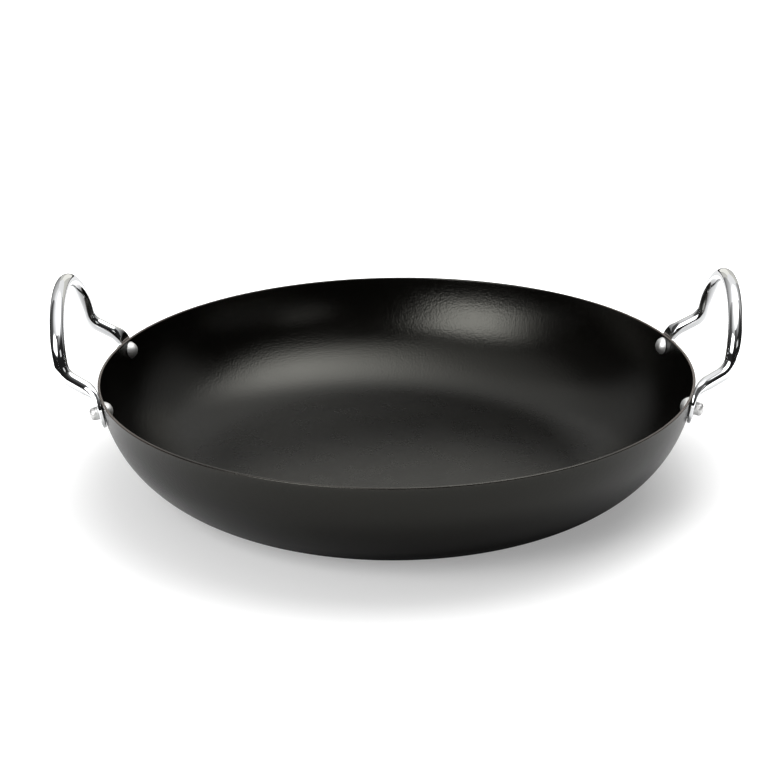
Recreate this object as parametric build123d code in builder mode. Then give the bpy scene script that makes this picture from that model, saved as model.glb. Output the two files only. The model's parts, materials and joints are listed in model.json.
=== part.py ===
from build123d import *
import os
from math import asin, cos, degrees, radians, sin, sqrt, tan

# Two-handled shallow pan: one pressed steel sheet and two loops of bent rod.
# Each loop ends in two flattened tabs on the outside of the wall, with one rivet through each.
# Frame: origin on the ground under the middle of the base, +Z up, handles on the X axis.
# Lengths are in mm, turns and leans in degrees.

# Pan
rim_radius = 170.0  # outside of the wall at the rim
pan_height = 64.6  # ground to the outer edge of the rim
base_radius = 103.0  # flat part of the underside
sheet = 1.6
cove_turn = 69.0  # the bend from base to wall
rim_lean = 5.04  # wall at the rim, out from the vertical
rim_edge_share = 0.44  # edge radius over sheet, nearly a half circle

# Rivets: a domed head inside the pan, and an upset drum outside
rivet_drop = 6.7  # rim to rivet, along the wall
rivet_spacing = 99.4  # between the two rivets of one handle
shank_radius = 2.5
shank_clearance = 0.05
dome_radius = 5.1
dome_height = 4.0
dome_clearance = 0.02
drum_radius = 3.6
drum_height = 4.6
drum_round = 1.3

# Flattened ends of the rod
tab_width = 13.5
tab_thick = 2.6
tab_over_rim = 1.4  # the flat runs this far past the rim
tab_drop = 9.0  # rivet to the tip
tab_shoulder = 3.6
tab_edge_round = 0.6
tip_thick = 1.5
taper_below_drum = 0.6

# Neck between flat and round rod: its two first sections, and the leg's line where it starts
neck_sink = 1.6  # the neck starts this far inside the flat
neck_foot_width = 10.6
neck_foot_inset = 0.3  # foot under each face of the flat
neck_foot_shift = 1.0  # how far the foot stands in from the middle of the tab
neck_middle_width = 9.8
neck_middle_thick = 5.2
neck_edge_share = 0.49  # edge radius over thickness, nearly a half circle
neck_length = 6.5
root_rise = 2.4  # top of the flat to the line of the leg
root_shift = 2.8  # how far the leg stands in from the middle of the tab

# Loop of round rod
rod_radius = 4.0
corner_outset = 13.0  # rim to the corner between leg and limb, outward
corner_rise = 13.9  # rim to that corner, upward
corner_inset = 3.75  # rivet to that corner, towards the middle of the loop
corner_bend = 12.0
loop_lean = 7.65  # out from the vertical
limb_lean = 10.0  # in towards the other limb
limb_length = 8.0
shoulder_radius = 24.75
shoulder_turn = 31.6

os.makedirs("parts", exist_ok=True)

# How far the bend and the wall run out and climb, for a radius of 1. With both turns set,
# there is one radius for each at which they end at the rim.
rim_turn = 90 - rim_lean
cove_out = sin(radians(cove_turn))
cove_up = 1 - cos(radians(cove_turn))
wall_out = sin(radians(rim_turn)) - cove_out
wall_up = 1 - cos(radians(rim_turn)) - cove_up
both_out = rim_radius - base_radius
cove_radius = (both_out * wall_up - pan_height * wall_out) / (cove_out * wall_up - cove_up * wall_out)

# Outside line of the pan from its middle to the rim: x is the radius, y the height
with BuildLine() as outside:
    base_line = Line((0, 0), (base_radius, 0))
    cove = JernArc(base_line @ 1, base_line % 1, cove_radius, cove_turn)
    wall = TangentArc(cove @ 1, (rim_radius, pan_height), tangent=cove % 1)

# Where the rivets stand on that line, and how far round the pan from the X axis
seat_place = 1 - rivet_drop / wall.length
seat = wall @ seat_place
seat_slope = wall % seat_place
seat_angle = degrees(asin(rivet_spacing / 2 / seat.X))
seat_angles = {
    "right_back": seat_angle,
    "right_front": -seat_angle,
    "left_back": 180 - seat_angle,
    "left_front": 180 + seat_angle,
}


# Plane on the outside of the wall at a rivet: x runs round the pan, y up the wall, z outward
def seat_plane(angle):
    along = Vector(cos(radians(angle)), sin(radians(angle)), 0)
    origin = along * seat.X + Vector(0, 0, seat.Y)
    outward = along * seat_slope.Y - Vector(0, 0, seat_slope.X)
    return Plane(origin=origin, x_dir=Vector(-along.Y, along.X, 0), z_dir=outward)


# Pan: the sheet turned about the Z axis, with four rivet holes
with BuildPart() as pan:
    with BuildSketch(Plane.XZ) as pan_section:
        with BuildLine():
            add(outside.line)
            offset(amount=sheet, side=Side.LEFT)
        make_face()
        fillet(pan_section.vertices().sort_by(Axis.Y)[-2:], rim_edge_share * sheet)
    revolve(axis=Axis.Z)
    for angle in seat_angles.values():
        with BuildSketch(seat_plane(angle)):
            Circle(shank_radius + shank_clearance)
        extrude(amount=2 * sheet, both=True, mode=Mode.SUBTRACT)
pan.part.label = "pan"
export_step(pan.part, "parts/pan.step")

# Back end of the right handle: the neck's line runs up from inside the flat and out along the leg
tab_plane = seat_plane(seat_angle)
tab_rise = rivet_drop + tab_over_rim
neck_foot = tab_plane.from_local_coords((-neck_foot_shift, tab_rise - neck_sink, tab_thick / 2))
neck_foot_thick = tab_thick - 2 * neck_foot_inset
leg_root = tab_plane.from_local_coords((-root_shift, tab_rise + root_rise, tab_thick / 2))
corner_reach = rim_radius + corner_outset
corner_height = pan_height + corner_rise
corner = Vector(corner_reach, rivet_spacing / 2 - corner_inset, corner_height)
leg = (corner - leg_root).normalized()
rod_start = leg_root + leg * neck_length
with BuildLine() as neck_line:
    neck = Bezier(neck_foot, leg_root, rod_start)

# Flat tab with a round, thinner tip, and the neck that changes it into round rod
with BuildPart() as handle_end:
    with BuildSketch(Plane(tab_plane.origin, x_dir=tab_plane.z_dir, z_dir=-tab_plane.x_dir)):
        with BuildLine():
            Polyline(
                (0, tab_rise),
                (tab_thick, tab_rise),
                (tab_thick, -drum_radius - taper_below_drum),
                (tip_thick, -tab_drop),
                (0, -tab_drop),
                close=True,
            )
        make_face()
    extrude(amount=tab_width / 2, both=True)
    with BuildSketch(tab_plane) as tab_outline:
        with Locations((0, tab_width / 2 - tab_drop)):
            Circle(tab_width / 2)
            Rectangle(tab_width, tab_rise + tab_drop - tab_width / 2, align=(Align.CENTER, Align.MIN))
        fillet(tab_outline.vertices().group_by(Axis.Y)[-1], tab_shoulder)
    extrude(amount=tab_thick, mode=Mode.INTERSECT)
    through_tab = Axis(tab_plane.origin, tab_plane.z_dir)
    fillet(handle_end.edges().filter_by(through_tab, reverse=True), tab_edge_round)
    with BuildSketch(Plane(neck_foot, x_dir=tab_plane.x_dir, z_dir=tab_plane.y_dir)):
        RectangleRounded(neck_foot_width, neck_foot_thick, neck_edge_share * neck_foot_thick)
    with BuildSketch(Plane(neck @ 0.5, x_dir=tab_plane.x_dir, z_dir=neck % 0.5)):
        RectangleRounded(neck_middle_width, neck_middle_thick, neck_edge_share * neck_middle_thick)
    with BuildSketch(Plane(rod_start, x_dir=tab_plane.x_dir, z_dir=leg)):
        Circle(rod_radius)
    loft()

# Plane that the loop stands in, and the directions and turns of its bends
loop_up = Vector(sin(radians(loop_lean)), 0, cos(radians(loop_lean)))
loop_normal = Vector(0, 1, 0).cross(loop_up)
loop_plane = Plane((corner_reach, 0, corner_height), x_dir=(0, 1, 0), z_dir=loop_normal)
limb = loop_up * cos(radians(limb_lean)) - loop_plane.x_dir * sin(radians(limb_lean))
bend_reach = corner_bend * tan(radians(leg.get_angle(limb) / 2))
crown_turn = 90 - limb_lean - shoulder_turn

# Middle line of the rod: half the loop, mirrored to the front
with BuildLine(loop_plane) as loop_line:
    leg_line = Line(rod_start, corner - leg * bend_reach)
    bend = TangentArc(leg_line @ 1, corner + limb * bend_reach, tangent=leg)
    limb_line = Line(bend @ 1, corner + limb * limb_length)
    shoulder = JernArc(limb_line @ 1, limb, shoulder_radius, shoulder_turn)
    crown_radius = (shoulder @ 1).Y / sin(radians(crown_turn))
    JernArc(shoulder @ 1, shoulder % 1, crown_radius, crown_turn)
    mirror(about=Plane.XZ)

# Right handle: the rod, with a tab at both ends and a rivet hole through each tab
with BuildPart() as handle_right:
    with BuildSketch(Plane(rod_start, x_dir=tab_plane.x_dir, z_dir=leg)):
        Circle(rod_radius)
    sweep(path=loop_line.line)
    add(handle_end.part)
    mirror(handle_end.part, about=Plane.XZ)
    for angle in (seat_angle, -seat_angle):
        with BuildSketch(seat_plane(angle)):
            Circle(shank_radius + shank_clearance)
        extrude(amount=tab_thick, mode=Mode.SUBTRACT)
handle_right.part.label = "handle_right"
export_step(handle_right.part, "parts/handle_right.step")

# Left handle: the same loop on the other side
with BuildPart() as handle_left:
    mirror(handle_right.part, about=Plane.YZ)
handle_left.part.label = "handle_left"
export_step(handle_left.part, "parts/handle_left.step")

# The wall is hollow inside, so the edge of a dome meets it before the middle does
inside_radius = wall.radius - sheet
dome_hollow = inside_radius - sqrt(inside_radius**2 - dome_radius**2)
dome_seat = sheet + dome_hollow + dome_clearance
dome_ball = (dome_radius**2 + dome_height**2) / (2 * dome_height)
drum_end = tab_thick + drum_height

# Rivets: half a profile turned about the axis through wall and tab, y pointing into the pan
for place, angle in seat_angles.items():
    rivet_plane = seat_plane(angle)
    with BuildPart() as rivet:
        with BuildSketch(Plane(rivet_plane.origin, x_dir=rivet_plane.x_dir, z_dir=rivet_plane.y_dir)):
            with BuildLine():
                dome = RadiusArc((0, dome_seat + dome_height), (dome_radius, dome_seat), dome_ball)
                Polyline(
                    (dome_radius, dome_seat),
                    (shank_radius, dome_seat),
                    (shank_radius, -tab_thick),
                    (drum_radius, -tab_thick),
                    (drum_radius, -drum_end),
                    (0, -drum_end),
                    (0, dome_seat + dome_height),
                )
            make_face()
        revolve(axis=Axis(rivet_plane.origin, rivet_plane.z_dir))
        rivet_edges = rivet.edges().filter_by(GeomType.CIRCLE)
        fillet(rivet_edges.sort_by(Axis(rivet_plane.origin, rivet_plane.z_dir))[-1], drum_round)
    rivet.part.label = "rivet_" + place
    export_step(rivet.part, "parts/rivet_" + place + ".step")
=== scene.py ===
import json
from math import asin, cos, pi, radians, sin, tan

import bpy
import numpy as np
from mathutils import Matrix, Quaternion, Vector

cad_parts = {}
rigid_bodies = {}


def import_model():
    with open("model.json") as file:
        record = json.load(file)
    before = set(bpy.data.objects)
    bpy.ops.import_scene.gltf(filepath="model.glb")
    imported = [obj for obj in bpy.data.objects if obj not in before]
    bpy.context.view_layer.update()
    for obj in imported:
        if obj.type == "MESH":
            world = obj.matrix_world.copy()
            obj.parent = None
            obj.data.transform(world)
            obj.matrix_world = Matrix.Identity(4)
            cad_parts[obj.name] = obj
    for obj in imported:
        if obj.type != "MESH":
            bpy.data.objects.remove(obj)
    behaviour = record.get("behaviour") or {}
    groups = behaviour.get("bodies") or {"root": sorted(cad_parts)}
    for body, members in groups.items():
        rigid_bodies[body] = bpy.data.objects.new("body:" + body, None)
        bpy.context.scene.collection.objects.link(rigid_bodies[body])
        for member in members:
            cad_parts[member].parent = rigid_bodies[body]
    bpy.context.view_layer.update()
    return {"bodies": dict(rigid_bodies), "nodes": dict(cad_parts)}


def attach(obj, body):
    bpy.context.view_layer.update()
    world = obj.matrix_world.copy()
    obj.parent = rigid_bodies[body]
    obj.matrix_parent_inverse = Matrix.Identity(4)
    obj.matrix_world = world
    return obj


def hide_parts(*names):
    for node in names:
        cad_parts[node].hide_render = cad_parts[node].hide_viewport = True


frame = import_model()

print("frame loaded:", len(frame["nodes"]), "nodes")

scene = bpy.context.scene
bodyName = list(frame["bodies"])[0]  # nothing moves, so there is one body
white = (1, 1, 1, 1)
pointSize = 1e-9  # a loop of points smaller than this has shrunk to a point


def unit(v):
    v = np.asarray(v, float)
    return v / np.linalg.norm(v, axis=-1, keepdims=True)


def ease(x, start, end):  # 0 before start, 1 after end, and a smooth S between them
    t = np.clip((x - start) / (end - start), 0, 1)
    return t * t * (3 - 2 * t)


def aroundTurn(count):  # angles of count spokes, evenly round a full turn
    return np.arange(count) * 2 * pi / count


def ringSkin(name, rings, material):
    # rings: one closed loop of points per row; a first or last row that has shrunk to a point is a pole
    rows, around = rings.shape[:2]
    index = np.arange(rows * around).reshape(rows, around)
    for end in (0, -1):
        if np.ptp(rings[end], axis=0).max() < pointSize:
            index[end] = index[end, 0]
    used, index = np.unique(index, return_inverse=True)
    index = index.reshape(rows, around)
    points = rings.reshape(-1, 3)[used]
    a, b = index[:-1], index[1:]
    c, d = np.roll(b, -1, axis=1), np.roll(a, -1, axis=1)
    quads = np.stack([a, b, c, d], axis=-1).reshape(-1, 4)
    atStart, atEnd = quads[:, 0] == quads[:, 3], quads[:, 1] == quads[:, 2]
    fans = np.concatenate([quads[atStart][:, [0, 1, 2]], quads[atEnd][:, [0, 1, 3]]])
    quads = quads[~(atStart | atEnd)]
    # volume under all the faces: negative means that they point inwards
    tris = np.concatenate([quads[:, [0, 1, 2]], quads[:, [0, 2, 3]], fans])
    p, q, r = points[tris[:, 0]], points[tris[:, 1]], points[tris[:, 2]]
    if np.einsum("ij,ij->", p, np.cross(q, r)) < 0:
        quads, fans = quads[:, ::-1], fans[:, ::-1]
    mesh = bpy.data.meshes.new(name)
    mesh.from_pydata(points.tolist(), [], quads.tolist() + fans.tolist())
    mesh.shade_smooth()
    mesh.materials.append(material)
    piece = bpy.data.objects.new(name, mesh)
    scene.collection.objects.link(piece)
    return piece


def newMaterial(name):
    material = bpy.data.materials.new(name)
    material.use_nodes = True
    nodes, links = material.node_tree.nodes, material.node_tree.links
    return material, nodes, links, nodes["Principled BSDF"]


def feed(links, value, socket):  # value is a number, a colour or another node's output
    if isinstance(value, bpy.types.NodeSocket):
        links.new(value, socket)
    else:
        socket.default_value = value


def addMath(nodes, links, operation, *values):
    node = nodes.new("ShaderNodeMath")
    node.operation = operation
    for value, socket in zip(values, node.inputs):
        feed(links, value, socket)
    return node.outputs[0]


def addColorMix(nodes, links, share, first, second):
    mix = nodes.new("ShaderNodeMix")
    mix.data_type = "RGBA"
    feed(links, share, mix.inputs["Factor"])
    feed(links, first, mix.inputs["A"])
    feed(links, second, mix.inputs["B"])
    return mix.outputs["Result"]


def addShaderMix(nodes, links, share, first, second):
    mix = nodes.new("ShaderNodeMixShader")
    for value, socket in zip((share, first, second), mix.inputs):
        links.new(value, socket)
    return mix.outputs[0]


def addAxes(nodes, links):  # X, Y and Z in the piece's own space
    place = nodes.new("ShaderNodeTexCoord")
    parts = nodes.new("ShaderNodeSeparateXYZ")
    links.new(place.outputs["Object"], parts.inputs[0])
    return parts.outputs


def addDistance(nodes, links, point):  # from a point in the piece's own space
    place = nodes.new("ShaderNodeTexCoord")
    distance = nodes.new("ShaderNodeVectorMath")
    distance.operation = "DISTANCE"
    links.new(place.outputs["Object"], distance.inputs[0])
    distance.inputs[1].default_value = point
    return distance.outputs["Value"]


def addNoise(nodes, links, scale, detail):  # noise in the piece's own space, scale per metre
    place = nodes.new("ShaderNodeTexCoord")
    noise = nodes.new("ShaderNodeTexNoise")
    noise.inputs["Scale"].default_value = scale
    noise.inputs["Detail"].default_value = detail
    links.new(place.outputs["Object"], noise.inputs["Vector"])
    return noise.outputs["Fac"]


def addRange(nodes, links, value, fromLow, fromHigh, toLow, toHigh):
    span = nodes.new("ShaderNodeMapRange")
    span.inputs["From Min"].default_value = fromLow
    span.inputs["From Max"].default_value = fromHigh
    span.inputs["To Min"].default_value = toLow
    span.inputs["To Max"].default_value = toHigh
    links.new(value, span.inputs["Value"])
    return span.outputs["Result"]


def addBump(nodes, links, shader, scale, detail, height):
    bump = nodes.new("ShaderNodeBump")
    bump.inputs["Distance"].default_value = height
    links.new(addNoise(nodes, links, scale, detail), bump.inputs["Height"])
    links.new(bump.outputs["Normal"], shader.inputs["Normal"])
    return bump


coating = {
    "dark": (0.0008, 0.0007, 0.0006, 1),
    "light": (0.0018, 0.0016, 0.0013, 1),
    "toneDetail": 3,  # of the noise between the two
    "cloudScale": 60,  # per metre
    "cloudDetail": 4,
    "cloudSpan": (0.3, 0.7),  # noise at which the first and the last roughness are reached
    "roughness": (0.16, 0.20),
    "floorRoughness": 0.10,  # more on the flat bottom than on the wall
    "floorHeight": (0.003, 0.010),  # where that starts to fade and is gone
    "ior": 1.42,
    "tint": (1.0, 0.99, 0.90, 1),  # of its sheen
    "rimColor": (0.110, 0.090, 0.080, 1),  # lighter brown-grey on the edge of the sheet, strongest beside the handles
    "rimHeight": (0.0640, 0.0645),
    "rimReach": (0.110, 0.165),  # from the middle plane, where the wear starts and is full
    "rimLeast": 0.12,  # share of that lighter edge colour between the handles
    "grainScale": 900,  # per metre
    "grainDetail": 2,
    "grainHeight": 0.00014,
    "floorGrain": 0.55,  # how much of the grain is left on the flat bottom
}


def makeCoating():
    material, nodes, links, shader = newMaterial("satin_coating")
    axes = addAxes(nodes, links)
    fine = addNoise(nodes, links, coating["grainScale"], coating["toneDetail"])
    tone = addColorMix(nodes, links, fine, coating["dark"], coating["light"])
    # the rim's edge turns a lighter brown-grey, fully beside the handles and less between them
    onRim = addRange(nodes, links, axes["Z"], *coating["rimHeight"], 0, 1)
    aside = addMath(nodes, links, "ABSOLUTE", axes["X"])
    nearHandles = addRange(nodes, links, aside, *coating["rimReach"], coating["rimLeast"], 1)
    edgeShare = addMath(nodes, links, "MULTIPLY", onRim, nearHandles)
    edgeTone = addColorMix(nodes, links, edgeShare, tone, coating["rimColor"])
    links.new(edgeTone, shader.inputs["Base Color"])
    shader.inputs["Specular Tint"].default_value = coating["tint"]
    shader.inputs["IOR"].default_value = coating["ior"]
    clouds = addNoise(nodes, links, coating["cloudScale"], coating["cloudDetail"])
    onWall = addRange(nodes, links, clouds, *coating["cloudSpan"], *coating["roughness"])
    extra = addRange(nodes, links, axes["Z"], *coating["floorHeight"], coating["floorRoughness"], 0)
    links.new(addMath(nodes, links, "ADD", onWall, extra), shader.inputs["Roughness"])
    bump = addBump(
        nodes, links, shader, coating["grainScale"], coating["grainDetail"], coating["grainHeight"]
    )
    grain = addRange(nodes, links, axes["Z"], *coating["floorHeight"], coating["floorGrain"], 1)
    links.new(grain, bump.inputs["Strength"])
    return material


plating = {
    "color": (0.95, 0.96, 0.97, 1),
    "cloudScale": 220,  # per metre
    "cloudDetail": 3,
    "cloudSpan": (0.35, 0.65),
    "roughness": (0.012, 0.030),
    "bumpScale": 90,
    "bumpDetail": 2,
    "bumpHeight": 0.00001,
}
rivetFinish = {
    "color": (0.80, 0.80, 0.79, 1),
    "cloudScale": 700,
    "cloudDetail": 4,
    "cloudSpan": (0.3, 0.7),
    "roughness": (0.42, 0.56),
    "bumpScale": 2500,
    "bumpDetail": 3,
    "bumpHeight": 0.00002,
}


def makeMetal(name, finish):
    material, nodes, links, shader = newMaterial(name)
    shader.inputs["Base Color"].default_value = finish["color"]
    shader.inputs["Metallic"].default_value = 1
    clouds = addNoise(nodes, links, finish["cloudScale"], finish["cloudDetail"])
    rough = addRange(nodes, links, clouds, *finish["cloudSpan"], *finish["roughness"])
    links.new(rough, shader.inputs["Roughness"])
    addBump(nodes, links, shader, finish["bumpScale"], finish["bumpDetail"], finish["bumpHeight"])
    return material


coatingMaterial = makeCoating()
platingMaterial = makeMetal("chrome_plating", plating)
rivetMaterial = makeMetal("tumbled_aluminium", rivetFinish)
print("materials made")


pan = {
    "rimRadius": 0.170,  # outside of the wall at the rim
    "height": 0.0646,
    "baseRadius": 0.103,
    "sheet": 0.0016,
    "coveTurn": 69.0,  # the bend from base to wall, degrees
    "rimLean": 5.04,  # wall at the rim, out from the vertical
    "rimEdge": 0.44,  # edge radius over sheet
    "around": 288,
    "flatSteps": 14,
    "bendSteps": 48,
    "wallSteps": 16,
    "edgeSteps": 9,
}

# With both turns set, the two radii follow from how far the bend and the wall run out and climb
bendTurn, rimTurn = radians(pan["coveTurn"]), radians(90 - pan["rimLean"])
bendOut, bendUp = sin(bendTurn), 1 - cos(bendTurn)
wallOut, wallUp = sin(rimTurn) - bendOut, cos(bendTurn) - cos(rimTurn)
bothOut = pan["rimRadius"] - pan["baseRadius"]
share = bendOut * wallUp - bendUp * wallOut
bendRadius = (bothOut * wallUp - pan["height"] * wallOut) / share
wallRadius = (pan["height"] * bendOut - bothOut * bendUp) / share
wallCenter = np.array([
    pan["baseRadius"] + (bendRadius - wallRadius) * sin(bendTurn),
    bendRadius + (wallRadius - bendRadius) * cos(bendTurn),
])


def arc(center, radius, start, end, steps):  # radius, height = centre + radius * (sin t, -cos t)
    t = np.linspace(start, end, steps)
    return center + radius * np.stack([np.sin(t), -np.cos(t)], axis=-1)


def flat(start, end, height, steps):  # radius from start to end at one height
    r = np.linspace(start, end, steps)
    return np.stack([r, np.full(steps, height)], axis=-1)


def panLine():
    # Radius and height from the middle of the underside, up the outside, over the rim and down the inside
    sheet, edge = pan["sheet"], pan["rimEdge"] * pan["sheet"]
    bendCenter = np.array([pan["baseRadius"], bendRadius])
    outerEnd = rimTurn - asin(edge / wallRadius)
    innerEnd = rimTurn - asin(edge / (wallRadius - sheet))
    up = np.array([cos(rimTurn), sin(rimTurn)])
    inward = np.array([-sin(rimTurn), cos(rimTurn)])
    rim = np.array([pan["rimRadius"], pan["height"]])
    t = np.linspace(0, pi / 2, pan["edgeSteps"])[:, None]
    outerEdge = rim - edge * up + edge * inward + edge * (up * np.sin(t) - inward * np.cos(t))
    innerEdge = rim - edge * up + (sheet - edge) * inward + edge * (up * np.cos(t) + inward * np.sin(t))
    return np.concatenate([
        flat(0, pan["baseRadius"], 0, pan["flatSteps"])[:-1],
        arc(bendCenter, bendRadius, 0, bendTurn, pan["bendSteps"])[:-1],
        arc(wallCenter, wallRadius, bendTurn, outerEnd, pan["wallSteps"])[:-1],
        outerEdge,
        innerEdge,
        arc(wallCenter, wallRadius - sheet, innerEnd, bendTurn, pan["wallSteps"])[1:],
        arc(bendCenter, bendRadius - sheet, bendTurn, 0, pan["bendSteps"])[1:],
        flat(pan["baseRadius"], 0, sheet, pan["flatSteps"])[1:],
    ])


def makePan():
    line = panLine()
    turn = aroundTurn(pan["around"])
    rings = np.empty((len(line), pan["around"], 3))
    rings[..., 0] = line[:, :1] * np.cos(turn)
    rings[..., 1] = line[:, :1] * np.sin(turn)
    rings[..., 2] = line[:, 1:]
    piece = ringSkin("pan_shell", rings, coatingMaterial)
    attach(piece, bodyName)
    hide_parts("pan")


makePan()
print("pan made, bend radius", round(bendRadius * 1000, 2), "wall radius", round(wallRadius * 1000, 2))


rivet = {
    "drop": 0.0067,  # rim to rivet along the wall
    "spacing": 0.0994,
    "shank": 0.0025,
    "domeRadius": 0.0051,
    "domeHeight": 0.0040,
    "domeGap": 0.00002,
    "drumRadius": 0.0036,
    "drumHeight": 0.0046,
    "drumRound": 0.0021,
    "drumSwell": 0.00025,  # of the end of the drum
    "footRound": 0.00025,  # where the drum stands on the tab
    "lipRound": 0.0003,
    "lipStart": 45.0,  # where the lip's curve leaves the dome's, degrees from straight up
    "lipShare": 0.4,  # share of the lip's radius at which the dome stops short
    "around": 64,
    "domeSteps": 22,
    "lipSteps": 7,
    "footSteps": 5,
    "drumSteps": 12,
    "endSteps": 7,
}

seatTurn = rimTurn - rivet["drop"] / wallRadius
seatRadius = wallCenter[0] + wallRadius * sin(seatTurn)
seatHeight = wallCenter[1] - wallRadius * cos(seatTurn)
seatAngle = asin(rivet["spacing"] / 2 / seatRadius)
seats = {
    "right_back": seatAngle,
    "right_front": -seatAngle,
    "left_back": pi - seatAngle,
    "left_front": pi + seatAngle,
}


def seatFrame(angle):  # the seat's point, and the directions round the pan, up the wall and outward
    along = np.array([cos(angle), sin(angle), 0])
    point = along * seatRadius + np.array([0, 0, seatHeight])
    roundPan = np.array([-sin(angle), cos(angle), 0])
    outward = along * sin(seatTurn) - np.array([0, 0, cos(seatTurn)])
    return point, roundPan, np.cross(outward, roundPan), outward


def headLine(seat):  # dome and lip: radius and depth, from the top of the dome to its seat
    ball = (rivet["domeRadius"] ** 2 + rivet["domeHeight"] ** 2) / (2 * rivet["domeHeight"])
    lip, top = rivet["lipRound"], seat + rivet["domeHeight"]
    reach = asin((rivet["domeRadius"] - lip * rivet["lipShare"]) / ball)
    t = np.linspace(0, reach, rivet["domeSteps"])
    dome = np.stack([ball * np.sin(t), top - ball * (1 - np.cos(t))], axis=-1)
    t = np.linspace(radians(rivet["lipStart"]), pi, rivet["lipSteps"])[:, None]
    lipCenter = np.array([rivet["domeRadius"] - lip, seat + lip])
    return np.concatenate([dome, lipCenter + lip * np.concatenate([np.sin(t), np.cos(t)], axis=1)])


def drumLine(tabThick):  # radius and depth, from the foot on the tab to the middle of the end
    foot, edge, swell = rivet["footRound"], rivet["drumRound"], rivet["drumSwell"]
    drumEnd = swell - tabThick - rivet["drumHeight"]
    t = np.linspace(0, pi / 2, rivet["footSteps"])[:, None]
    footCenter = np.array([rivet["drumRadius"] - foot, -tabThick - foot])
    footEdge = footCenter + foot * np.concatenate([np.sin(t), np.cos(t)], axis=1)
    t = np.linspace(0, pi / 2, rivet["drumSteps"])[:, None]
    drumCenter = np.array([rivet["drumRadius"] - edge, drumEnd + edge])
    drumEdge = drumCenter + edge * np.concatenate([np.cos(t), -np.sin(t)], axis=1)
    # the end: depth goes on by swell * (1 - r^2), with r from 1 at its edge to 0 in the middle
    r = np.linspace(1, 0, rivet["endSteps"])[:, None]
    end = np.concatenate([(rivet["drumRadius"] - edge) * r, drumEnd - swell * (1 - r * r)], axis=1)
    return np.concatenate([footEdge, drumEdge, end[1:]])


def rivetLine(tabThick):
    # Radius and depth into the pan, from the top of the dome down its shank to the end of the drum
    inner = wallRadius - pan["sheet"]
    hollow = inner - (inner ** 2 - rivet["domeRadius"] ** 2) ** 0.5
    seat = pan["sheet"] + hollow + rivet["domeGap"]
    shank = [[rivet["shank"], seat], [rivet["shank"], -tabThick]]
    return np.concatenate([headLine(seat), shank, drumLine(tabThick)])


def makeRivet(place, angle, tabThick):
    point, roundPan, upWall, outward = seatFrame(angle)
    line = rivetLine(tabThick)
    turn = aroundTurn(rivet["around"])
    spokes = np.cos(turn)[:, None] * roundPan + np.sin(turn)[:, None] * upWall
    rings = point + line[:, 0, None, None] * spokes - line[:, 1, None, None] * outward
    piece = ringSkin("rivet_" + place + "_body", rings, rivetMaterial)
    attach(piece, bodyName)
    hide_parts("rivet_" + place)


handle = {
    "rodRadius": 0.0040,
    "tabWidth": 0.0135,
    "tabThick": 0.0026,
    "tipThick": 0.0015,
    "tabDrop": 0.0090,  # rivet to the tip
    "tabOverRim": 0.0014,
    "taperStart": 0.0042,  # below the rivet
    "tipRound": 0.0006,
    "tipCrowding": 0.75,  # share of the drop over which the rows stand closer towards the tip
    "rootRise": 0.0024,
    "rootShift": 0.0028,
    "neckStart": 0.0040,  # above the rivet
    "neckPulls": (0.0042, 0.0062),  # how far the neck holds on to the tab's and the leg's direction
    "neckLength": 0.0065,
    "neckHalfWidth": 0.00495,
    "squareness": (7, 2),  # of the flat and of the rod; 2 is round
    "cornerOutset": 0.0130,  # rim to the corner between leg and limb
    "cornerRise": 0.0139,
    "cornerInset": 0.00375,
    "cornerBend": 0.0120,
    "loopLean": 7.65,
    "limbLean": 10.0,
    "limbLength": 0.0080,
    "shoulderRadius": 0.02475,
    "shoulderTurn": 31.6,
    # distances from the tip over which the flat gets as narrow as the neck, the neck as narrow as
    # the rod, the flat as thick as the rod, and the section round
    "toNeck": (0.0118, 0.0186),
    "toRod": (0.0180, 0.0265),
    "toThick": (0.0140, 0.0265),
    "toRound": (0.0135, 0.0235),
    "around": 48,
    "tabSteps": 12,  # in each half of the flat
    "neckSteps": 26,
    "straightSteps": 4,
    "cornerSteps": 17,
    "shoulderSteps": 14,
    "crownSteps": 24,
}


def bentArc(start, heading, toward, radius, turn, steps):
    # start + radius * (sin t * heading + (1 - cos t) * toward), t from 0 to turn
    t = np.linspace(0, turn, steps)[:, None]
    points = start + radius * (np.sin(t) * heading + (1 - np.cos(t)) * toward)
    return points, heading * cos(turn) + toward * sin(turn)


def straight(start, end):  # points from start to end, without start itself
    return start + np.linspace(0, 1, handle["straightSteps"])[1:, None] * (end - start)


def square(direction, toward):  # the part of toward that stands square to direction
    return unit(toward - np.dot(toward, direction) * direction)


def tabRows():
    # The flat tab: places along it, up the wall from the rivet, and half its thickness at each
    length, half, tip = handle["tabDrop"], handle["tabThick"] / 2, handle["tipThick"] / 2
    crowded = (1 - np.cos(np.linspace(0, pi / 2, handle["tabSteps"]))) * handle["tipCrowding"]
    low = length * crowded - length
    y = np.concatenate([low, np.linspace(low[-1], handle["neckStart"], handle["tabSteps"])[1:]])
    thick = half * np.ones_like(y)
    tapered = y < -handle["taperStart"]
    thick[tapered] = tip + (half - tip) * (y[tapered] + length) / (length - handle["taperStart"])
    return y, thick


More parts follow.
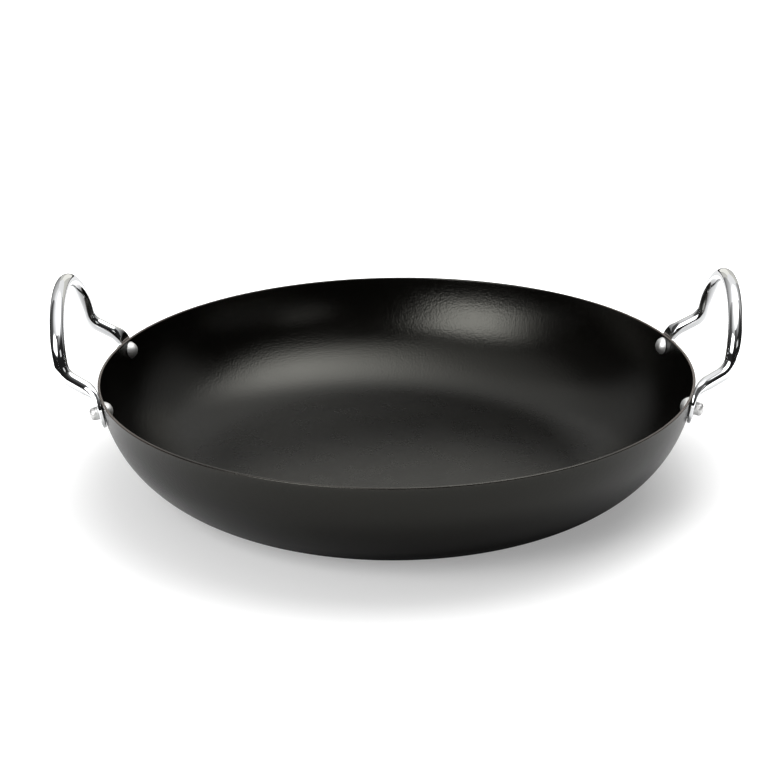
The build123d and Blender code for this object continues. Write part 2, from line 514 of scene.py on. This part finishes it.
def rodLine():
    # Middle line of half the right handle, from the tip of the back tab to the middle of the loop
    point, roundPan, upWall, outward = seatFrame(seatAngle)

    def local(x, y, z):
        return point + x * roundPan + y * upWall + z * outward

    rise = rivet["drop"] + handle["tabOverRim"]
    half = handle["tabThick"] / 2
    root = local(-handle["rootShift"], rise + handle["rootRise"], half)
    corner = np.array([
        pan["rimRadius"] + handle["cornerOutset"],
        rivet["spacing"] / 2 - handle["cornerInset"],
        pan["height"] + handle["cornerRise"],
    ])
    leg = unit(corner - root)
    rodStart = root + leg * handle["neckLength"]
    lean, limbLean = radians(handle["loopLean"]), radians(handle["limbLean"])
    loopUp = np.array([sin(lean), 0, cos(lean)])
    inwardY = np.array([0, -1.0, 0])
    limb = loopUp * cos(limbLean) + inwardY * sin(limbLean)
    cornerTurn = np.arccos(np.dot(leg, limb))
    cornerReach = handle["cornerBend"] * tan(cornerTurn / 2)

    # The flat tab lies with its inner face against the wall
    y, thick = tabRows()
    tab = local(0, y[:, None], thick[:, None])

    # The neck: a cubic curve from straight up the wall to straight along the leg
    t = np.linspace(0, 1, handle["neckSteps"])[1:, None]
    p0, p3 = local(0, handle["neckStart"], half), rodStart
    p1, p2 = p0 + handle["neckPulls"][0] * upWall, p3 - handle["neckPulls"][1] * leg
    neck = (1 - t) ** 3 * p0 + 3 * (1 - t) ** 2 * t * p1 + 3 * (1 - t) * t ** 2 * p2 + t ** 3 * p3

    # Leg, corner, limb, shoulder and half the crown
    legEnd = corner - leg * cornerReach
    limbEnd = corner + limb * handle["limbLength"]
    towardLimb = square(leg, limb)
    bend = bentArc(legEnd, leg, towardLimb, handle["cornerBend"], cornerTurn, handle["cornerSteps"])[0]
    shoulderTurn = radians(handle["shoulderTurn"])
    toward = square(limb, inwardY)
    shoulder, heading = bentArc(
        limbEnd, limb, toward, handle["shoulderRadius"], shoulderTurn, handle["shoulderSteps"]
    )
    crownTurn = pi / 2 - limbLean - shoulderTurn
    crownRadius = shoulder[-1][1] / sin(crownTurn)
    toward = square(heading, inwardY)
    crown = bentArc(shoulder[-1], heading, toward, crownRadius, crownTurn, handle["crownSteps"])[0]
    line = np.concatenate([
        tab, neck, straight(rodStart, legEnd), bend[1:], straight(bend[-1], limbEnd), shoulder[1:], crown[1:],
    ])
    return line, roundPan


def sectionSizes(distance):
    # Half width, half thickness and squareness of the rod, by distance from the tip along its middle
    rod, wide, narrow = handle["rodRadius"], handle["tabWidth"] / 2, handle["neckHalfWidth"]
    tipCurve = np.sqrt(np.clip(wide ** 2 - np.clip(wide - distance, 0, wide) ** 2, 0, None))
    width = tipCurve + (narrow - wide) * ease(distance, *handle["toNeck"])
    width = width + (rod - narrow) * ease(distance, *handle["toRod"])
    tip, half = handle["tipThick"] / 2, handle["tabThick"] / 2
    flare = np.clip(distance / (handle["tabDrop"] - handle["taperStart"]), 0, 1)
    tipEdge = np.clip(1 - distance / handle["tipRound"], 0, 1)
    rounding = np.sqrt(np.clip(1 - tipEdge ** 2, 0, None))
    thick = (tip + (half - tip) * flare) * rounding + (rod - half) * ease(distance, *handle["toThick"])
    flatSquare, rodSquare = handle["squareness"]
    squareness = flatSquare + (rodSquare - flatSquare) * ease(distance, *handle["toRound"])
    return width, thick, squareness


def makeHandle(side):
    line, roundPan = rodLine()
    headings = unit(np.gradient(line, axis=0))
    headings[-1] = (0, -1, 0)
    sides = np.empty_like(line)
    carried = roundPan
    for i, heading in enumerate(headings):  # carry the width's direction along without twist
        carried = square(heading, carried)
        sides[i] = carried
    faces = np.cross(sides, headings)
    distance = np.concatenate([[0], np.cumsum(np.linalg.norm(np.diff(line, axis=0), axis=1))])
    width, thick, squareness = sectionSizes(distance)
    # The section: (width * cos^(2/n) u, thickness * sin^(2/n) u) with n the squareness
    u = aroundTurn(handle["around"]) + pi / handle["around"]
    power = 2 / squareness[:, None]
    across = np.sign(np.cos(u)) * np.abs(np.cos(u)) ** power * width[:, None]
    through = np.sign(np.sin(u)) * np.abs(np.sin(u)) ** power * thick[:, None]
    rings = line[:, None] + across[..., None] * sides[:, None] + through[..., None] * faces[:, None]
    rings = np.concatenate([rings, rings[-2::-1] * (1, -1, 1)])  # the front half mirrors the back one
    if side == "left":
        rings = rings * (-1, 1, 1)
    piece = ringSkin("handle_" + side + "_rod", rings, platingMaterial)
    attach(piece, bodyName)
    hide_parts("handle_" + side)


for side in ("left", "right"):
    makeHandle(side)
for place, angle in seats.items():
    makeRivet(place, angle, handle["tabThick"])
print("handles and rivets made")


floorPaper = {
    "half": 4.0,  # reaches this far each way from the pan
    "drop": 0.0002,
    "color": (0.75, 0.75, 0.75, 1),
    "glow": (0.30, 1.0),  # near the pan and far away
    "glowReach": (0.165, 0.30),
}


def backgroundRays(nodes, links):  # 1 for rays from the camera, a mirror or glass
    rays = nodes.new("ShaderNodeLightPath")
    seen = rays.outputs["Is Camera Ray"]
    for kind in ("Is Glossy Ray", "Is Transmission Ray"):
        seen = addMath(nodes, links, "MAXIMUM", seen, rays.outputs[kind])
    return seen


def makeFloor():
    h, z = floorPaper["half"], -floorPaper["drop"]
    mesh = bpy.data.meshes.new("floor")
    mesh.from_pydata([(-h, -h, z), (h, -h, z), (h, h, z), (-h, h, z)], [], [(0, 1, 2, 3)])
    floor = bpy.data.objects.new("floor", mesh)
    scene.collection.objects.link(floor)
    material, nodes, links, shader = newMaterial("floor_paper")
    nodes.remove(shader)
    diffuse = nodes.new("ShaderNodeBsdfDiffuse")
    diffuse.inputs["Color"].default_value = floorPaper["color"]
    glow = nodes.new("ShaderNodeEmission")
    distance = addDistance(nodes, links, (0, 0, 0))
    reach = addRange(nodes, links, distance, *floorPaper["glowReach"], *floorPaper["glow"])
    strength = addMath(nodes, links, "MULTIPLY", backgroundRays(nodes, links), reach)
    links.new(strength, glow.inputs["Strength"])
    both = nodes.new("ShaderNodeAddShader")
    links.new(diffuse.outputs[0], both.inputs[0])
    links.new(glow.outputs[0], both.inputs[1])
    links.new(both.outputs[0], nodes["Material Output"].inputs["Surface"])
    mesh.materials.append(material)


softboxes = {
    # middle, point that it faces, size, radiance in the middle, and how much of each half fades out
    "overhead": {
        "at": (0.42, 0.16, 1.06), "facing": (0.42, 0.16, 0), "size": (1.50, 1.34),
        "radiance": 4.8, "fade": (0.95, 0.95),
    },
    "front": {
        "at": (-0.755, -1.034, 0.824), "facing": (0, 0, 0), "size": (1.44, 1.06),
        "radiance": 6.4, "fade": (0.85, 0.32),
    },
}
lampMiddle = 0.5  # of a lamp's own two coordinates, which run from 0 to 1


def turnedTo(at, facing):  # the turn with which a lamp or a camera at one point faces the other
    return (Vector(facing) - Vector(at)).to_track_quat("-Z", "Y")


def makeSoftbox(name, box):
    light = bpy.data.lights.new(name, "AREA")
    light.shape = "RECTANGLE"
    light.size, light.size_y = box["size"]
    light.energy = box["radiance"] * pi * light.size * light.size_y
    # brightness: the product, for both directions, of an S from 0 at the edge to 1 where the fade ends
    light.use_nodes = True
    nodes, links = light.node_tree.nodes, light.node_tree.links
    place = nodes.new("ShaderNodeNewGeometry")
    parts = nodes.new("ShaderNodeSeparateXYZ")
    links.new(place.outputs["Parametric"], parts.inputs[0])
    falloffs = []
    for i, fade in enumerate(box["fade"]):
        offset = addMath(nodes, links, "SUBTRACT", parts.outputs[i], lampMiddle)
        away = addMath(nodes, links, "ABSOLUTE", offset)
        falloff = addRange(nodes, links, away, lampMiddle, lampMiddle * (1 - fade), 0, 1)
        falloff.node.interpolation_type = "SMOOTHSTEP"
        falloffs.append(falloff)
    brightness = addMath(nodes, links, "MULTIPLY", *falloffs)
    links.new(brightness, nodes["Emission"].inputs["Strength"])
    lamp = bpy.data.objects.new(name, light)
    lamp.location = box["at"]
    lamp.rotation_euler = turnedTo(box["at"], box["facing"]).to_euler()
    lamp.visible_camera = False
    scene.collection.objects.link(lamp)


warm = (1.0, 0.99, 0.93, 1)
screens = {
    # part of the sky that each covers, in degrees: azimuth clockwise from +Y, elevation; its tone
    # at its lower and its upper edge; and its colour where it isn't white
    "right": {"azimuth": (75, 150), "elevation": (-1, 37), "tone": (0.01, 0.02)},
    "right_high": {"azimuth": (65, 150), "elevation": (37, 58), "tone": (0.08, 0.40)},
    "right_back": {"azimuth": (38, 75), "elevation": (-1, 37), "tone": (0.02, 0.55)},
    "front": {"azimuth": (150, 198), "elevation": (-1, 25), "tone": (0.008, 0.02)},
    "front_high": {"azimuth": (150, 198), "elevation": (25, 60), "tone": (0.03, 0.11)},
    "front_low": {"azimuth": (198, 246), "elevation": (-1, 10), "tone": (0.02, 0.02)},
    "left": {"azimuth": (246, 305), "elevation": (-1, 40), "tone": (0.01, 0.09)},
    "left_high": {"azimuth": (198, 305), "elevation": (40, 76), "tone": (0.12, 1.0)},
    "left_back": {"azimuth": (305, 340), "elevation": (-1, 46), "tone": (0.15, 0.60)},
    "back": {"azimuth": (350, 371), "elevation": (-1, 28), "tone": (0.85, 0.85), "color": warm},
    "back_left": {"azimuth": (340, 350), "elevation": (-1, 28), "tone": (0.50, 0.60), "color": warm},
    "back_right": {"azimuth": (371, 398), "elevation": (-1, 28), "tone": (0.50, 0.60), "color": warm},
    "back_middle": {"azimuth": (340, 398), "elevation": (28, 46), "tone": (0.80, 0.80)},
    "back_high": {"azimuth": (305, 398), "elevation": (46, 76), "tone": (0.80, 1.0)},
    "window": {"azimuth": (128, 148), "elevation": (14, 27), "tone": (0.7, 0.7)},
}
screenDistance = 3.4
windowDistance = 3.3  # in front of the screen there
screenGrid = (25, 13)  # points across and up
cloths = {
    # inner: radius of the inner edge, from the back clockwise in steps of 45 degrees to the back again
    "ground": {  # the dark floor further out
        "inner": (1.2, 0.9, 0.75, 0.7, 0.60, 0.45, 0.40, 0.7, 1.2),
        "outer": 3.3,
        "height": 0.001,
        "tone": 0.01,
    },
    "back": {  # the pale floor behind the pan, as the tops of the handles mirror it
        "inner": (0.30, 0.40, 1.2, 1.2, 1.2, 1.2, 1.2, 0.40, 0.30),
        "outer": 1.2,
        "height": 0.0005,
        "tone": 0.85,
    },
}
# painted shadow: a black sheet round the pan, hidden from the camera, that darkens the floor in reflections
# where the pan's shadow falls
paintedShadowCloth = {
    "reach": (0.104, 0.38),
    "height": 0.0001,
    "middle": (0.015, -0.035, 0),
    # a dense and a thin layer: distances from that middle where each starts to fade and is clear
    "denseFade": (0.100, 0.155),
    "dense": 0.53,
    "thinFade": (0.22, 0.33),
    "thin": 0.42,
}
ringSteps = 121


def makeCard(name, points, tone, low, high, color=white):
    # A hidden card that glows: tone goes from its first value at height low to its last at height high
    index = np.arange(points.shape[0] * points.shape[1]).reshape(points.shape[:2])
    quads = np.stack([index[:-1, :-1], index[:-1, 1:], index[1:, 1:], index[1:, :-1]], axis=-1)
    mesh = bpy.data.meshes.new(name)
    mesh.from_pydata(points.reshape(-1, 3).tolist(), [], quads.reshape(-1, 4).tolist())
    material, nodes, links, shader = newMaterial(name + "_cloth")
    nodes.remove(shader)
    glow = nodes.new("ShaderNodeEmission")
    glow.inputs["Color"].default_value = color
    strength = addRange(nodes, links, addAxes(nodes, links)["Z"], low, high, *tone)
    links.new(strength, glow.inputs["Strength"])
    links.new(glow.outputs[0], nodes["Material Output"].inputs["Surface"])
    mesh.materials.append(material)
    card = bpy.data.objects.new(name, mesh)
    card.visible_camera = False
    card.visible_shadow = False
    scene.collection.objects.link(card)
    return card


def makeScreen(name, part, distance):  # a patch of a sphere: distance * (sin a cos e, cos a cos e, sin e)
    a = np.radians(np.linspace(*part["azimuth"], screenGrid[0]))
    e = np.radians(np.linspace(*part["elevation"], screenGrid[1]))
    a, e = np.meshgrid(a, e)
    points = distance * np.stack([np.sin(a) * np.cos(e), np.cos(a) * np.cos(e), np.sin(e)], axis=-1)
    low, high = points[..., 2].min(), points[..., 2].max()
    makeCard("screen_" + name, points, part["tone"], low, high, part.get("color", white))


def makeRing(name, inner, outer, height, tone):  # lies on the floor, and lights nothing but what mirrors it
    a = np.linspace(0, 2 * pi, ringSteps)
    radius = np.stack([np.interp(a, np.linspace(0, 2 * pi, len(inner)), inner), np.full(a.shape, outer)])
    points = np.stack([radius * np.sin(a), radius * np.cos(a), np.full(radius.shape, height)], axis=-1)
    card = makeCard(name, points, (tone, tone), 0, 1)
    card.visible_diffuse = False
    return card


def makePaintedShadowCloth():  # painted shadow: a thin black sheet close round the pan, seen only in mirrors, that darkens the floor they show there and fades out
    low, high = paintedShadowCloth["reach"]
    # the card named under carries the painted shadow
    card = makeRing("under", (low, low), high, paintedShadowCloth["height"], 0)
    nodes, links = card.active_material.node_tree.nodes, card.active_material.node_tree.links
    distance = addDistance(nodes, links, paintedShadowCloth["middle"])
    dense = addRange(nodes, links, distance, *paintedShadowCloth["denseFade"], paintedShadowCloth["dense"], 0)
    thin = addRange(nodes, links, distance, *paintedShadowCloth["thinFade"], paintedShadowCloth["thin"], 0)
    cover = addMath(nodes, links, "ADD", dense, thin)
    clear = nodes.new("ShaderNodeBsdfTransparent")
    mixed = addShaderMix(nodes, links, cover, clear.outputs[0], nodes["Emission"].outputs[0])
    links.new(mixed, nodes["Material Output"].inputs["Surface"])


studio = {
    "fill": 0.2,  # world light on the object
    "background": 1,  # what camera and mirrors see of it
}


def makeWorld():
    world = bpy.data.worlds.new("studio")
    scene.world = world
    world.use_nodes = True
    nodes, links = world.node_tree.nodes, world.node_tree.links
    fill, background = nodes["Background"], nodes.new("ShaderNodeBackground")
    for node, strength in ((fill, studio["fill"]), (background, studio["background"])):
        node.inputs["Color"].default_value = white
        node.inputs["Strength"].default_value = strength
    seen = backgroundRays(nodes, links)
    mixed = addShaderMix(nodes, links, seen, fill.outputs[0], background.outputs[0])
    links.new(mixed, nodes["World Output"].inputs["Surface"])


makeFloor()
for name, box in softboxes.items():
    makeSoftbox(name, box)
for name, part in screens.items():
    makeScreen(name, part, windowDistance if name == "window" else screenDistance)
for name, cloth in cloths.items():
    makeRing(name, cloth["inner"], cloth["outer"], cloth["height"], cloth["tone"])
makePaintedShadowCloth()
makeWorld()
print("floor, lamps and screens made")


view = {
    "location": (0.0032, -0.9514, 0.4185),
    "target": (-0.0037, 0, 0.0501),
    "lens": 81.5,
    "sensor": 36,
    "roll": -0.61,  # degrees
    "farthest": 20,
}
camera = bpy.data.cameras.new("camera")
camera.lens = view["lens"]
camera.sensor_width = view["sensor"]
camera.clip_end = view["farthest"]
eye = bpy.data.objects.new("camera", camera)
eye.location = view["location"]
roll = Quaternion((0, 0, 1), radians(view["roll"]))
eye.rotation_euler = (turnedTo(view["location"], view["target"]) @ roll).to_euler()
scene.collection.objects.link(eye)
scene.camera = eye
scene.view_settings.view_transform = "Standard"
print("camera set")
